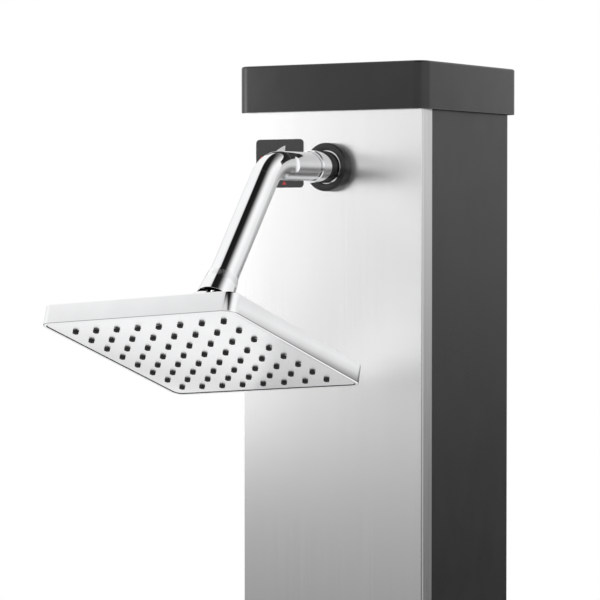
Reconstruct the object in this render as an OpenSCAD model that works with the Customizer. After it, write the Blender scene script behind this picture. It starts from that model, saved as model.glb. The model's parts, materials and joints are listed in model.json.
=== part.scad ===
// Free-standing rain shower column: square column with a built-in water tank, brushed steel front,
// swivelling arm and a square tilting rain head. Origin on the floor at the centre of the column.
// +X is the right-hand side seen from the front, the front faces -Y, and +Z is up. Millimetres.

/* [Column] */
// Width of the column across the front panel
column_w = 150; // [140:1:170]
// Depth of the column from the front panel to the back
column_d = 136; // [130:1:160]
// Height from the floor to the top of the cap
column_h = 2200; // [2000:10:2300]
// Radius of the two rounded rear corners
rear_corner_r = 6; // [4:0.5:8]

/* [Cap and collar] */
// Height of the top cap
cap_h = 34; // [30:1:45]
// How far the cap stands proud of the column
cap_over = 4.2; // [3:0.1:6]
// Corner radius of the cap, seen from above
cap_corner_r = 9.8; // [8:0.2:12]
// Height of the collar at the foot of the column
collar_h = 30; // [20:1:45]

/* [Arm] */
// Distance of the arm's axis below the cap
arm_drop = 40.7; // [38:0.1:60]
// Outer radius of the arm tube
arm_r = 10.2; // [9.8:0.1:10.8]
// Distance from the front panel to where the two arm axes cross
arm_reach = 81.2; // [78:0.2:110]
// Angle of the lower arm from the vertical
arm_lean = 41; // [35:1:50]
// Length of the lower arm from the crossing of the axes to the ball centre
arm_lower = 132; // [125:1:180]
// Centreline radius of the bend
bend_r = 30; // [24:1:34]
// Sideways swing of the arm in the stored position
arm_swing = 4.4; // [0:0.2:20]

/* [Rain head] */
// Side of the square rain head
head_w = 156.4; // [150:0.2:158]
// Corner radius of the rain head
head_corner_r = 8; // [5:0.5:10]
// Height of the rim of the rain head
rim_h = 13.7; // [12:0.1:18]
// Distance from the ball centre down to the lower edge of the rim
rim_drop = 31.3; // [31:0.1:34]
// Backward lean of the head's own axis in the stored position
head_lean = 20.6; // [16:0.2:40]
// Turn of the head about its own axis in the stored position
head_turn = -1.7; // [-20:0.1:20]
// Sideways roll of the head on its ball in the stored position
head_roll = 0.65; // [-3:0.05:3]
// Nozzles along each side of the square pattern
nozzle_count = 8; // [4:2:8]
// Distance between neighbouring nozzles
nozzle_pitch = 17.25; // [16:0.25:17.25]

/* [Mixer] */
// Height of the mixer above the floor
mixer_z = 1100; // [900:10:1250]
// Radius of the mixer's cover plate
escutcheon_r = 34; // [30:1:40]

/* [Foot] */
// Width of the base plate
base_w = 224; // [220:2:260]
// Depth of the base plate
base_d = 176; // [176:2:220]
// Distance between the anchor holes across the column
anchor_x = 192; // [188:1:200]
// Distance between the anchor holes from front to back
anchor_y = 144; // [130:1:150]
// Radius of the anchor holes
anchor_r = 5.5; // [4.5:0.5:6.5]

/* [Hidden] */
$fn = 64;

dark = [0.20, 0.20, 0.21];
steel = [0.80, 0.80, 0.80];
chrome = [0.88, 0.88, 0.90];
brass = [0.80, 0.65, 0.30];
black = [0.05, 0.05, 0.05];
copper = [0.75, 0.45, 0.30];
white = [0.93, 0.93, 0.93];

eps = 0.01;
over = 1;
run_gap = 0.05;
free_gap = 0.3;

// Column cross-section, from the front backwards
front_y = -column_d / 2;
sheet_t = 1.5;
panel_back_y = front_y + sheet_t;
tape_t = 1;
trim_front_y = panel_back_y + tape_t;
strip_d = 13.3;
trim_back_y = trim_front_y + strip_d;
wing_gap = 0.6;
wing_y = trim_back_y + wing_gap;
body_inset = 0.9;
body_x = column_w / 2 - body_inset;
wall_t = 3.5;
chamber_y = front_y + 42;
divider_y = chamber_y - wall_t;
back_y = column_d / 2;
inner_x = body_x - wall_t;
flange_x = column_w / 2 - 17;

// Foot angles: their legs, width and places as [side, y]
angle_leg = 26;
angle_t = 3;
angle_w = 24;
angle_spots = [[-1, -4], [-1, 40], [1, -4], [1, 40]];

// Heights
base_t = 8;
cap_z = column_h - cap_h;
cap_wall = 2.6;
column_top = column_h - cap_wall;
tank_floor_z = 120;
tank_roof_z = cap_z - 22;
plate_t = 6;
glue_gap = 0.1;

// Label: its place and size on the front panel
label_x = -44;
label_drop = 37.5;
label_w = 40.8;
label_h = 35.3;
label_t = 0.4;

// Arm and wall socket, measured along Y from the front panel, outward negative
arm_z = cap_z - arm_drop;
socket_r = 11.55;
socket_nose_y = -28;
socket_flange_r = 17;
socket_flange_y = 6;
socket_flange_t = 4;
socket_tail_y = 18;
socket_tail_r = 13;
socket_hole_r = 12.1;
spigot_y = 10.5;
spigot_bore_r = 7.9;
arm_bore_r = 8.2;
clip_y = 8;
clip_t = 1.6;
o_ring_ys = [0, -6];
o_ring_wire = 0.6;
o_ring_floor_r = 9;
bend_angle = 90 - arm_lean;
bend_tangent = bend_r * tan(bend_angle / 2);
hair = 0.02;
lap = 0.3;
notch_y = 60.5;
notch_depth = 1.6;
notch_cutter_r = 3.6;

// Lower end of the arm, measured back up the arm from the ball centre
ball_r = 11;
neck_r = 6;
ball_bore_r = 4;
nut_top = 35;
nut_foot = 16.5;
tube_end = 26;
washer_t = 2;
nut_r = 11.7;
nut_lip_r = 13;
thread_r = arm_r;

// Rain head, in its own frame: origin at the ball centre, +Z out of its back
rim_z = -rim_drop;
rim_top_z = rim_z + rim_h;
rim_t = 1.7;
back_t = 2;
hub_r = 17;
hub_top = 1;
hub_foot = 3;
back_dome_r = 60;
back_dome_h = 5;
seat_floor_z = -11.7;
head_way_r = 7;
collar_r = 15.5;
collar_foot_z = -1;
seat_r = 13.75;
ball_gap = 0.3;
collar_top = 7.5;
collar_mouth_r = 10.5;
face_gap = 0.5;
face_recess = 0.6;
face_w = head_w - 2 * rim_t - 2 * face_gap;
face_corner_r = head_corner_r - rim_t - face_gap;
face_edge_z = rim_z + face_recess;
face_t = 1.6;
crown = 2.8;
mat_gap = 0.1;
mat_t = 1.4;
mat_w = nozzle_pitch * nozzle_count + 2;
carrier_z = face_edge_z + face_t + mat_gap + mat_t;
carrier_t = 2;
carrier_corner_r = 4;
nozzle_stand = 1.8;
nozzle_w = 3.4;
nozzle_hole_r = 0.6;
nozzle_slack = 0.2;
gasket_gap = 0.2;
screw_spots = [-2 * nozzle_pitch, 2 * nozzle_pitch];
nozzle_places = [for (i = [0 : nozzle_count - 1]) (i - (nozzle_count - 1) / 2) * nozzle_pitch];

// Fasteners and brackets behind the front panel
bracket_y = sheet_t + tape_t + sheet_t;
bracket_t = 2.5;
bracket_screw_x = flange_x + 5;
rivet_count = 8;
rivet_low_z = 150;
rivet_pitch = (column_top - 2 * rivet_low_z) / (rivet_count - 1);
stud_r = 2;
stud_hole_r = 2.2;
stud_count = 6;
stud_low_z = 110;
stud_pitch = (arm_z - 65 - stud_low_z) / (stud_count - 1);
cap_screw_r = 2.2;
cap_screw_x = 45;

// Pipes in the service channel behind the front panel
pipe_y = front_y + 21;
pipe_x = 42;
pipe_r = 6;
pipe_wall = 1;
pipe_bend = 15;
riser_r = 7.5;
elbow_drop = 34;
riser_grip = 12;
inlet_z = 64;
inlet_tee_y = 8;
hose_thread_r = 13.2;
hose_nose_y = back_y + 18;
drain_z = tank_floor_z + 30;
hose_hole_r = 13.4;
drain_hole_r = 8.2;
hot_turn_z = tank_roof_z + plate_t + 18;
hot_port_y = 10;

// Mixer, measured along Y from the front panel, outward negative
mixer_body_r = 19;
mixer_cavity_r = 17.5;
mixer_hole_r = 21.3;
mixer_back_y = 34;
mixer_neck_y = -8;
pivot_y = -14;
dome_r = 21;
dome_mouth_r = 13;
handle_r = 19.5;
handle_gap = 0.6;
handle_front_y = -48;
carrier_r = 10;
stem_r = 4.8;
pin_r = 1.5;
lever_len = 62;
lever_r = 4.5;

// Square plate with round corners, drawn on the XY plane and centred on the origin
module round_square(w, d, r) {
    square([w - 2 * r, d], center = true);
    square([w, d - 2 * r], center = true);
    for (x = [-1, 1], y = [-1, 1])
        translate([x * (w / 2 - r), y * (d / 2 - r)])
            circle(r);
}

// Round bar along +Y from y0 to y1
module y_bar(r, y0, y1) {
    translate([0, y1, 0])
        rotate([90, 0, 0])
            cylinder(r = r, h = y1 - y0);
}

// Round bar along +X from x0 to x1
module x_bar(r, x0, x1) {
    translate([x0, 0, 0])
        rotate([0, 90, 0])
            cylinder(r = r, h = x1 - x0);
}

// Solid of revolution about Y: the profile's first number is the radius, its second is y
module y_turned(profile) {
    rotate([-90, 0, 0])
        rotate_extrude()
            polygon(profile);
}

// Hexagonal nut or head about Z
module hex_nut(across, h, hole_r) {
    difference() {
        cylinder(r = across / sqrt(3), h = h, $fn = 6);
        translate([0, 0, -over])
            cylinder(r = hole_r, h = h + 2 * over, $fn = 24);
    }
}

// Direction of travel from one point of a route to the next
function heading(path, i) = (path[i + 1] - path[i]) / norm(path[i + 1] - path[i]);

// Straight length of round bar between two points
module rod(a, b, r) {
    d = (b - a) / norm(b - a);
    side = abs(d[2]) > 0.9 ? [1, 0, 0] : [0, 0, 1];
    u = cross(side, d) / norm(cross(side, d));
    v = cross(d, u);
    multmatrix([[u[0], v[0], d[0], a[0]], [u[1], v[1], d[1], a[1]], [u[2], v[2], d[2], a[2]]])
        cylinder(r = r, h = norm(b - a));
}

// Quarter bend of round bar at a right-angled corner of a route
module quarter_bend(corner, u, v, r, bend) {
    w = cross(-v, u);
    c = corner - bend * u + bend * v;
    multmatrix([[-v[0], u[0], w[0], c[0]], [-v[1], u[1], w[1], c[1]], [-v[2], u[2], w[2], c[2]]])
        rotate_extrude(angle = 90)
            translate([bend, 0])
                circle(r, $fn = 32);
}

// Round bar that follows a route with right-angled bends; grow lengthens both ends
module route(path, r, bend, grow = 0) {
    last = len(path) - 2;
    for (i = [0 : last]) {
        u = heading(path, i);
        from = path[i] + u * (i == 0 ? -grow : bend);
        to = path[i + 1] - u * (i == last ? -grow : bend);
        rod(from, to, r);
        if (i < last)
            quarter_bend(path[i + 1], u, heading(path, i + 1), r, bend);
    }
}

// Pipe along a route
module pipe(path, r, wall, bend) {
    difference() {
        route(path, r, bend);
        route(path, r - wall, bend, over);
    }
}

// Places something in the arm's frame: origin on the front panel, on the arm's axis
module at_wall() {
    translate([0, front_y, arm_z])
        children();
}

// The same frame, turned by the arm's sideways swing
module at_arm() {
    at_wall()
        rotate([0, -arm_swing, 0])
            children();
}

// Lower arm: origin at the ball centre, +Z back up the arm
module at_ball() {
    at_arm()
        translate([0, -arm_reach, 0])
            rotate([-arm_lean, 0, 0])
                translate([0, 0, -arm_lower])
                    children();
}

// Rain head: origin at the ball centre, +Z out of the head's back
module at_head() {
    at_arm()
        translate([0, -arm_reach - arm_lower * sin(arm_lean), -arm_lower * cos(arm_lean)])
            rotate([-head_lean, 0, 0])
                rotate([0, head_roll, 0])
                    rotate([0, 0, head_turn])
                        children();
}

// Mixer: origin on the front panel, on the mixer's axis
module at_mixer() {
    translate([0, front_y, mixer_z])
        children();
}

// ---------- foot ----------

module base_plate() {
    color(steel)
        difference() {
            linear_extrude(base_t)
                round_square(base_w, base_d, 12);
            for (x = [-1, 1], y = [-1, 1])
                translate([x * anchor_x / 2, y * anchor_y / 2, -over])
                    cylinder(r = anchor_r, h = base_t + 2 * over);
        }
}

// Steel angles that tie the shell's side walls to the base plate
module foot_angles() {
    color(steel)
        for (s = angle_spots)
            translate([s[0] * inner_x, s[1] - angle_w / 2, base_t])
                mirror([s[0] > 0 ? 1 : 0, 0, 0]) {
                    cube([angle_leg, angle_w, angle_t]);
                    cube([angle_t, angle_w, angle_leg]);
                }
}

module foot_screws() {
    color(steel)
        for (s = angle_spots)
            translate([s[0] * (inner_x - 16), s[1], base_t + angle_t])
                cylinder(r = 5, h = 4, $fn = 24);
}

// Outline of the whole column with a little room round it, square at the front corners
module column_opening() {
    w = column_w + 2 * glue_gap;
    d = column_d + 2 * glue_gap;
    round_square(w, d, rear_corner_r / 2);
    translate([-w / 2, -d / 2])
        square([w, d / 2]);
}

// Dark collar round the foot of the column
module base_collar() {
    color(dark)
        translate([0, 0, base_t])
            difference() {
                linear_extrude(collar_h)
                    round_square(column_w + 2 * cap_over, column_d + 2 * cap_over, cap_corner_r);
                translate([0, 0, -over])
                    linear_extrude(collar_h + 2 * over)
                        column_opening();
            }
}

// ---------- tank and frame ----------

// Outline of the moulded shell: square at the front, rounded at the two rear corners
module shell_outline() {
    translate([-body_x, wing_y])
        square([2 * body_x, back_y - rear_corner_r - wing_y]);
    translate([-body_x + rear_corner_r, wing_y])
        square([2 * (body_x - rear_corner_r), back_y - wing_y]);
    for (x = [-1, 1])
        translate([x * (body_x - rear_corner_r), back_y - rear_corner_r])
            circle(rear_corner_r);
}

module tank_shell() {
    chamber_d = back_y - wall_t - chamber_y;
    color(dark)
        difference() {
            translate([0, 0, base_t])
                linear_extrude(column_top - base_t)
                    difference() {
                        shell_outline();
                        translate([0, chamber_y + chamber_d / 2])
                            round_square(2 * inner_x, chamber_d, rear_corner_r - wall_t);
                        translate([-inner_x, wing_y - over])
                            square([2 * inner_x, divider_y - wing_y + over]);
                    }
            for (hole = [[inlet_z, hose_hole_r], [drain_z, drain_hole_r]])
                translate([0, back_y - 2 * wall_t, hole[0]])
                    y_bar(hole[1], 0, 3 * wall_t);
            translate([-pipe_x, divider_y - over, inlet_z])
                y_bar(pipe_r + 1, 0, wall_t + 2 * over);
            translate([pipe_x, divider_y - over, hot_turn_z])
                y_bar(pipe_r + 1, 0, wall_t + 2 * over);
            at_cap_screws()
                y_bar(cap_screw_r, back_y - wall_t - over, back_y + over);
        }
}

// Flat plate that closes the tank chamber, with one pipe port
module chamber_plate(port_x, port_y) {
    chamber_d = back_y - wall_t - chamber_y;
    difference() {
        linear_extrude(plate_t)
            translate([0, chamber_y + chamber_d / 2])
                round_square(2 * (inner_x - glue_gap), chamber_d - 2 * glue_gap, 2);
        translate([port_x, port_y, -over])
            cylinder(r = pipe_r, h = plate_t + 2 * over);
    }
}

module tank_bottom_plate() {
    color(dark)
        translate([0, 0, tank_floor_z])
            chamber_plate(0, inlet_tee_y);
}

module tank_top_plate() {
    color(dark)
        translate([0, 0, tank_roof_z])
            chamber_plate(pipe_x, hot_port_y);
}

// Section of a front corner trim: side strip, flange behind the panel, web, and a leg inside the wing
module trim_section() {
    half = column_w / 2;
    leg_x = inner_x - sheet_t;
    leg_end_y = divider_y - 4;
    web_y = trim_back_y - sheet_t;
    translate([half - sheet_t, trim_front_y])
        square([sheet_t, strip_d]);
    translate([flange_x, trim_front_y])
        square([half - flange_x, sheet_t]);
    translate([leg_x, web_y])
        square([half - leg_x, sheet_t]);
    translate([leg_x, web_y])
        square([sheet_t, leg_end_y - web_y]);
}

// Front corner trim with the holes for the panel's studs
module trim(side) {
    color(steel)
        mirror([side < 0 ? 1 : 0, 0, 0])
            difference() {
                translate([0, 0, base_t])
                    linear_extrude(column_top - base_t)
                        trim_section();
                stud_row()
                    y_bar(stud_hole_r, 0, bracket_y);
            }
}

module trim_left() {
    trim(-1);
}

module trim_right() {
    trim(1);
}

// Blind rivets through the trims' legs into the shell's wings
module trim_rivets() {
    color(steel)
        for (side = [-1, 1], i = [0 : rivet_count - 1])
            mirror([side < 0 ? 1 : 0, 0, 0])
                translate([0, (wing_y + divider_y) / 2, rivet_low_z + i * rivet_pitch])
                    x_bar(3, inner_x - sheet_t - 1.2, inner_x - sheet_t);
}

module front_panel() {
    color(steel)
        difference() {
            translate([-column_w / 2, front_y, base_t + 2])
                cube([column_w, sheet_t, column_top - base_t - 2]);
            at_wall()
                y_bar(socket_hole_r, -over, sheet_t + over);
            at_mixer()
                y_bar(mixer_hole_r, -over, sheet_t + over);
        }
}

// Foam tape between the panel and the trims
module panel_tape() {
    color(black)
        for (side = [-1, 1])
            mirror([side < 0 ? 1 : 0, 0, 0])
                difference() {
                    translate([flange_x, panel_back_y, base_t + 10])
                        cube([12.5, tape_t, column_top - base_t - 20]);
                    stud_row()
                        y_bar(stud_hole_r, 0, 2 * tape_t);
                }
}

// Places something at each stud on the right-hand half of the panel's back
module stud_row() {
    for (i = [0 : stud_count - 1])
        translate([bracket_screw_x, panel_back_y, stud_low_z + i * stud_pitch])
            children();
}

module panel_studs() {
    color(steel)
        for (side = [-1, 1])
            mirror([side < 0 ? 1 : 0, 0, 0])
                stud_row()
                    y_bar(stud_r, 0, 8);
}

module panel_nuts() {
    color(steel)
        for (side = [-1, 1])
            mirror([side < 0 ? 1 : 0, 0, 0])
                stud_row()
                    translate([0, tape_t + sheet_t + 3, 0])
                        rotate([90, 0, 0])
                            hex_nut(7, 3, stud_r);
}

// ---------- cap and label ----------

// Places something at each screw that fixes the cap to the back of the shell
module at_cap_screws() {
    for (x = [-cap_screw_x, cap_screw_x])
        translate([x, 0, cap_z + cap_h / 2])
            children();
}

// Outer form of the cap, with a small round along its top edge
module cap_form() {
    edge = 1.6;
    w = column_w / 2 + cap_over - cap_corner_r;
    d = column_d / 2 + cap_over - cap_corner_r;
    hull()
        for (x = [-1, 1], y = [-1, 1])
            translate([x * w, y * d, cap_z]) {
                cylinder(r = cap_corner_r, h = cap_h - edge, $fn = 64);
                cylinder(r = cap_corner_r - edge * 0.3, h = cap_h - edge * 0.3, $fn = 64);
                cylinder(r = cap_corner_r - edge, h = cap_h, $fn = 64);
            }
}

module top_cap() {
    inner_w = column_w + 2 * cap_over - 2 * cap_wall;
    inner_d = column_d + 2 * cap_over - 2 * cap_wall;
    inner_r = min(cap_corner_r - cap_wall, 3 * (cap_over - cap_wall));
    color(dark)
        difference() {
            cap_form();
            translate([0, 0, cap_z - over])
                linear_extrude(cap_h - cap_wall + over)
                    round_square(inner_w, inner_d, inner_r);
            at_cap_screws()
                y_bar(cap_screw_r + 0.2, back_y, back_y + 2 * cap_over);
        }
}

module cap_screws() {
    color(steel)
        at_cap_screws() {
            y_bar(cap_screw_r, back_y - 8, back_y + cap_over);
            y_bar(4, back_y + cap_over, back_y + cap_over + 2);
        }
}

// Thin printed label on the front panel, left of the arm
module warning_label() {
    color(dark)
        translate([label_x, front_y, cap_z - label_drop])
            rotate([90, 0, 0])
                linear_extrude(label_t)
                    round_square(label_w, label_h, 3);
}

// ---------- brackets ----------

// Steel cross plate behind the trims' flanges, at a fitting's height
module bracket(z, hole_r) {
    color(steel)
        translate([0, front_y + bracket_y, z])
            difference() {
                translate([-inner_x + 4, 0, -30])
                    cube([2 * (inner_x - 4), bracket_t, 60]);
                y_bar(hole_r, -over, bracket_t + over);
            }
}

module arm_bracket() {
    bracket(arm_z, socket_hole_r);
}

module mixer_bracket() {
    bracket(mixer_z, mixer_hole_r);
}

module bracket_screws() {
    color(steel)
        for (z = [arm_z, mixer_z], x = [-1, 1], up = [-1, 1])
            translate([x * bracket_screw_x, front_y + bracket_y + bracket_t, z + up * 22])
                y_bar(4, 0, 2.5);
}

// ---------- wall socket of the arm ----------

// Chrome socket: nose outside the panel, flange behind the bracket, tail in the elbow
module wall_socket() {
    clip_room = 0.6;
    clip_room_r = 11.4;
    nose_chamfer = 0.6;
    bore_r = arm_r + run_gap;
    color(chrome)
        at_wall()
            y_turned([
                [bore_r + 0.7, socket_nose_y],
                [socket_r - nose_chamfer, socket_nose_y],
                [socket_r, socket_nose_y + nose_chamfer],
                [socket_r, socket_flange_y + 0.6],
                [socket_flange_r, socket_flange_y + 0.6],
                [socket_flange_r, socket_flange_y + socket_flange_t],
                [socket_tail_r, socket_flange_y + socket_flange_t],
                [socket_tail_r, socket_tail_y],
                [spigot_bore_r, socket_tail_y],
                [spigot_bore_r, spigot_y + 0.8],
                [bore_r, spigot_y + 0.8],
                [bore_r, clip_y + clip_t / 2 + clip_room],
                [clip_room_r, clip_y + clip_t / 2 + clip_room],
                [clip_room_r, clip_y - clip_t / 2 - clip_room],
                [bore_r, clip_y - clip_t / 2 - clip_room],
                [bore_r, socket_nose_y + 1.5],
                [bore_r + 0.7, socket_nose_y + 1.5]
            ]);
}

// Ring washer about Y
module y_ring(r_out, r_in, y0, y1) {
    difference() {
        y_bar(r_out, y0, y1);
        y_bar(r_in, y0 - over, y1 + over);
    }
}

module socket_spacer() {
    color(steel)
        at_wall()
            y_ring(20, socket_hole_r, sheet_t, bracket_y);
}

// Threaded chrome ring that clamps the panel, seen inside the rosette
module socket_lock_ring() {
    color(chrome)
        at_wall()
            y_turned([[socket_r, 0], [13.6, 0], [13.6, -2.2], [socket_r + 0.5, -6.4], [socket_r, -6.4]]);
}

// Dark ring rosette round the socket
module wall_rosette() {
    edge = 0.8;
    color(dark)
        at_wall()
            y_turned([
                [13.8, 0], [17.5, 0], [17.5, -8.2 + edge], [17.5 - edge, -8.2],
                [12.9, -8.2], [12.6, -7.9], [12.6, -5], [13.8, -2.6]
            ]);
}

// Brass elbow behind the socket, with its riser port below
module wall_elbow() {
    port_r = riser_r + 3;
    color(brass)
        at_wall()
            difference() {
                union() {
                    y_bar(15.6, socket_flange_y + socket_flange_t, 35);
                    translate([0, pipe_y - front_y, -elbow_drop])
                        cylinder(r = port_r, h = elbow_drop);
                }
                y_bar(socket_tail_r, 0, socket_tail_y);
                y_bar(spigot_bore_r, 0, 31);
                translate([0, pipe_y - front_y, -elbow_drop - over])
                    cylinder(r = riser_r, h = riser_grip + over);
                translate([0, pipe_y - front_y, -elbow_drop - over])
                    cylinder(r = riser_r - pipe_wall, h = elbow_drop);
            }
}

// ---------- pipes ----------

module riser_pipe() {
    top = arm_z - elbow_drop + riser_grip;
    low = mixer_z + mixer_body_r + 4;
    color(copper)
        translate([0, pipe_y, 0])
            difference() {
                translate([0, 0, low])
                    cylinder(r = riser_r, h = top - low);
                translate([0, 0, low - over])
                    cylinder(r = riser_r - pipe_wall, h = top - low + 2 * over);
            }
}

// From the tank's roof, forward over its edge and down to the mixer's hot port
module hot_pipe() {
    color(copper)
        pipe([
            [pipe_x, hot_port_y, tank_roof_z],
            [pipe_x, hot_port_y, hot_turn_z],
            [pipe_x, pipe_y, hot_turn_z],
            [pipe_x, pipe_y, mixer_z],
            [mixer_body_r + 1, pipe_y, mixer_z]
        ], pipe_r, pipe_wall, pipe_bend);
}

// From the inlet tee to the side, forward and up to the mixer's cold port
module cold_pipe() {
    color(copper)
        pipe([
            [-12, inlet_tee_y, inlet_z],
            [-pipe_x, inlet_tee_y, inlet_z],
            [-pipe_x, pipe_y, inlet_z],
            [-pipe_x, pipe_y, mixer_z],
            [-mixer_body_r - 1, pipe_y, mixer_z]
        ], pipe_r, pipe_wall, pipe_bend);
}

module tank_feed_pipe() {
    color(copper)
        pipe([[0, inlet_tee_y, inlet_z + 12], [0, inlet_tee_y, tank_floor_z + plate_t]],
            pipe_r, pipe_wall, pipe_bend);
}

module pipe_nuts() {
    color(brass) {
        for (x = [-1, 1])
            translate([x * (mixer_body_r + 9), pipe_y, mixer_z])
                rotate([0, x * 90, 0])
                    translate([0, 0, -5])
                        hex_nut(18, 4, pipe_r);
        translate([0, pipe_y, mixer_z + mixer_body_r + 9])
            hex_nut(20, 7, riser_r);
        translate([0, pipe_y, arm_z - elbow_drop - 7])
            hex_nut(20, 7, riser_r);
        translate([pipe_x, hot_port_y, tank_roof_z + plate_t])
            hex_nut(18, 3, pipe_r);
        translate([0, inlet_tee_y, tank_floor_z - 7])
            hex_nut(18, 7, pipe_r);
    }
}

// Brass tee: hose water in from the back, tank feed up, cold pipe to the left
module inlet_tee() {
    color(brass)
        translate([0, inlet_tee_y, inlet_z])
            difference() {
                union() {
                    y_bar(11, -12, 16);
                    cylinder(r = 9, h = 20);
                    x_bar(9, -20, 0);
                }
                y_bar(7, -8, 17);
                cylinder(r = pipe_r, h = 21);
                x_bar(pipe_r, -21, 0);
            }
}

module check_valve() {
    color(brass)
        translate([0, inlet_tee_y, inlet_z])
            difference() {
                y_bar(12.5, 16, 36);
                y_bar(6, 15, 37);
            }
}

// Threaded hose connector through the back wall
module hose_inlet() {
    color(brass)
        translate([0, 0, inlet_z])
            difference() {
                union() {
                    y_bar(hose_thread_r, inlet_tee_y + 36, hose_nose_y);
                    y_bar(17, back_y, back_y + 4);
                }
                y_bar(8, inlet_tee_y + 35, hose_nose_y + over);
            }
}

module inlet_nut() {
    color(brass)
        translate([0, back_y - wall_t, inlet_z])
            rotate([90, 0, 0])
                hex_nut(32, 6, hose_thread_r);
}

// Knurled plug that drains the tank before winter
module drain_plug() {
    color(dark)
        translate([0, 0, drain_z])
            difference() {
                union() {
                    y_bar(8, back_y - wall_t - 6, back_y);
                    y_bar(13, back_y, back_y + 9);
                }
                for (i = [0 : 11])
                    rotate([0, i * 30, 0])
                        translate([13.6, back_y - over, 0])
                            rotate([-90, 0, 0])
                                cylinder(r = 1.4, h = 11, $fn = 12);
            }
}

// ---------- mixer ----------

// Brass body behind the panel with hot, cold and riser ports
module mixer_body() {
    port_y = pipe_y - front_y;
    color(brass)
        at_mixer()
            difference() {
                union() {
                    y_bar(mixer_body_r + 1.5, bracket_y + bracket_t, mixer_back_y);
                    y_bar(21, mixer_neck_y, bracket_y + bracket_t);
                    translate([0, port_y, 0]) {
                        x_bar(8.5, -mixer_body_r - 4, mixer_body_r + 4);
                        cylinder(r = 10, h = mixer_body_r + 9);
                    }
                }
                y_bar(mixer_cavity_r, mixer_neck_y - over, mixer_back_y - 4);
                translate([0, port_y, 0]) {
                    x_bar(pipe_r, -mixer_body_r - 5, mixer_body_r + 5);
                    cylinder(r = riser_r, h = mixer_body_r + 10);
                }
            }
}

// Ceramic disc cartridge with the bore that the carrier turns in
module mixer_cartridge() {
    color(white)
        at_mixer()
            difference() {
                y_bar(mixer_cavity_r - 0.2, -10, 11);
                y_bar(carrier_r + run_gap, -11, 8);
            }
}

module cartridge_ring() {
    color(brass)
        at_mixer()
            y_ring(mixer_cavity_r - 0.2, carrier_r + 2, -13, -10);
}

module mixer_escutcheon() {
    edge = 1;
    color(chrome)
        at_mixer()
            y_turned([
                [dome_r + 0.1, 0], [escutcheon_r, 0], [escutcheon_r, -4 + edge],
                [escutcheon_r - edge, -4], [dome_r + 3, -4], [dome_r + 2, mixer_neck_y - 0.5],
                [dome_r + 0.1, mixer_neck_y - 0.5]
            ]);
}

// Fixed chrome ball cover over the cartridge, open at the front for the stem
module mixer_dome() {
    inner_r = dome_r - 2.2;
    color(chrome)
        at_mixer()
            difference() {
                union() {
                    translate([0, pivot_y, 0])
                        sphere(dome_r, $fn = 96);
                    y_bar(dome_r, pivot_y, mixer_neck_y);
                }
                translate([0, pivot_y, 0])
                    sphere(inner_r, $fn = 96);
                y_bar(inner_r, pivot_y, mixer_neck_y + over);
                y_bar(dome_r + 1, mixer_neck_y, dome_r);
                y_bar(dome_mouth_r, pivot_y - dome_r - over, pivot_y - 10);
            }
}

// Fork that turns in the cartridge and carries the stem's cross pin
module cartridge_carrier() {
    color(white)
        at_mixer()
            difference() {
                y_bar(carrier_r, pivot_y - 5, 6);
                translate([-stem_r - 0.4, pivot_y - 6, -carrier_r - over])
                    cube([2 * stem_r + 0.8, 15, 2 * (carrier_r + over)]);
                translate([0, pivot_y, 0])
                    x_bar(pin_r, -carrier_r - over, carrier_r + over);
            }
}

module carrier_pin() {
    color(steel)
        at_mixer()
            translate([0, pivot_y, 0])
                x_bar(pin_r, -carrier_r + 0.8, carrier_r - 0.8);
}

// Stem that tips on the cross pin and holds the handle
module cartridge_stem() {
    color(brass)
        at_mixer()
            difference() {
                y_bar(stem_r, handle_front_y + 9, pivot_y + 4);
                translate([0, pivot_y, 0])
                    x_bar(pin_r + run_gap, -stem_r - over, stem_r + over);
            }
}

// Round chrome handle with a lever pointing down
module mixer_handle() {
    edge = 2;
    color(chrome)
        at_mixer()
            difference() {
                union() {
                    y_turned([
                        [0, pivot_y], [handle_r, pivot_y], [handle_r, handle_front_y + edge],
                        [handle_r - edge, handle_front_y], [0, handle_front_y]
                    ]);
                    translate([0, handle_front_y + 9, -lever_len])
                        cylinder(r = lever_r, h = lever_len);
                    translate([0, handle_front_y + 9, -lever_len])
                        sphere(lever_r);
                }
                translate([0, pivot_y, 0])
                    sphere(dome_r + handle_gap, $fn = 96);
                y_bar(stem_r, handle_front_y + 9, pivot_y);
            }
}

// Small plug over the screw that fixes the handle
module handle_plug() {
    color(steel)
        at_mixer()
            y_bar(2.5, handle_front_y - 0.6, handle_front_y);
}

// ---------- arm ----------

// Round bar in the shape of the arm, from y_start behind the panel to the lower end. Each length is
// drawn a hair thinner than the one before it and laps into it, so that the three join as one solid.
module arm_bar(r, y_start, y_bend, end_z) {
    y_bar(r, y_bend - lap, y_start);
    translate([0, -(arm_reach - bend_tangent), -bend_r])
        rotate([90, 0, 90])
            rotate([0, 0, 90])
                rotate_extrude(angle = bend_angle)
                    translate([bend_r, 0])
                        circle(r - hair);
    translate([0, -arm_reach, 0])
        rotate([-arm_lean, 0, 0])
            translate([0, 0, end_z])
                cylinder(r = r - 2 * hair, h = -end_z - bend_tangent + lap);
}

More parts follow.
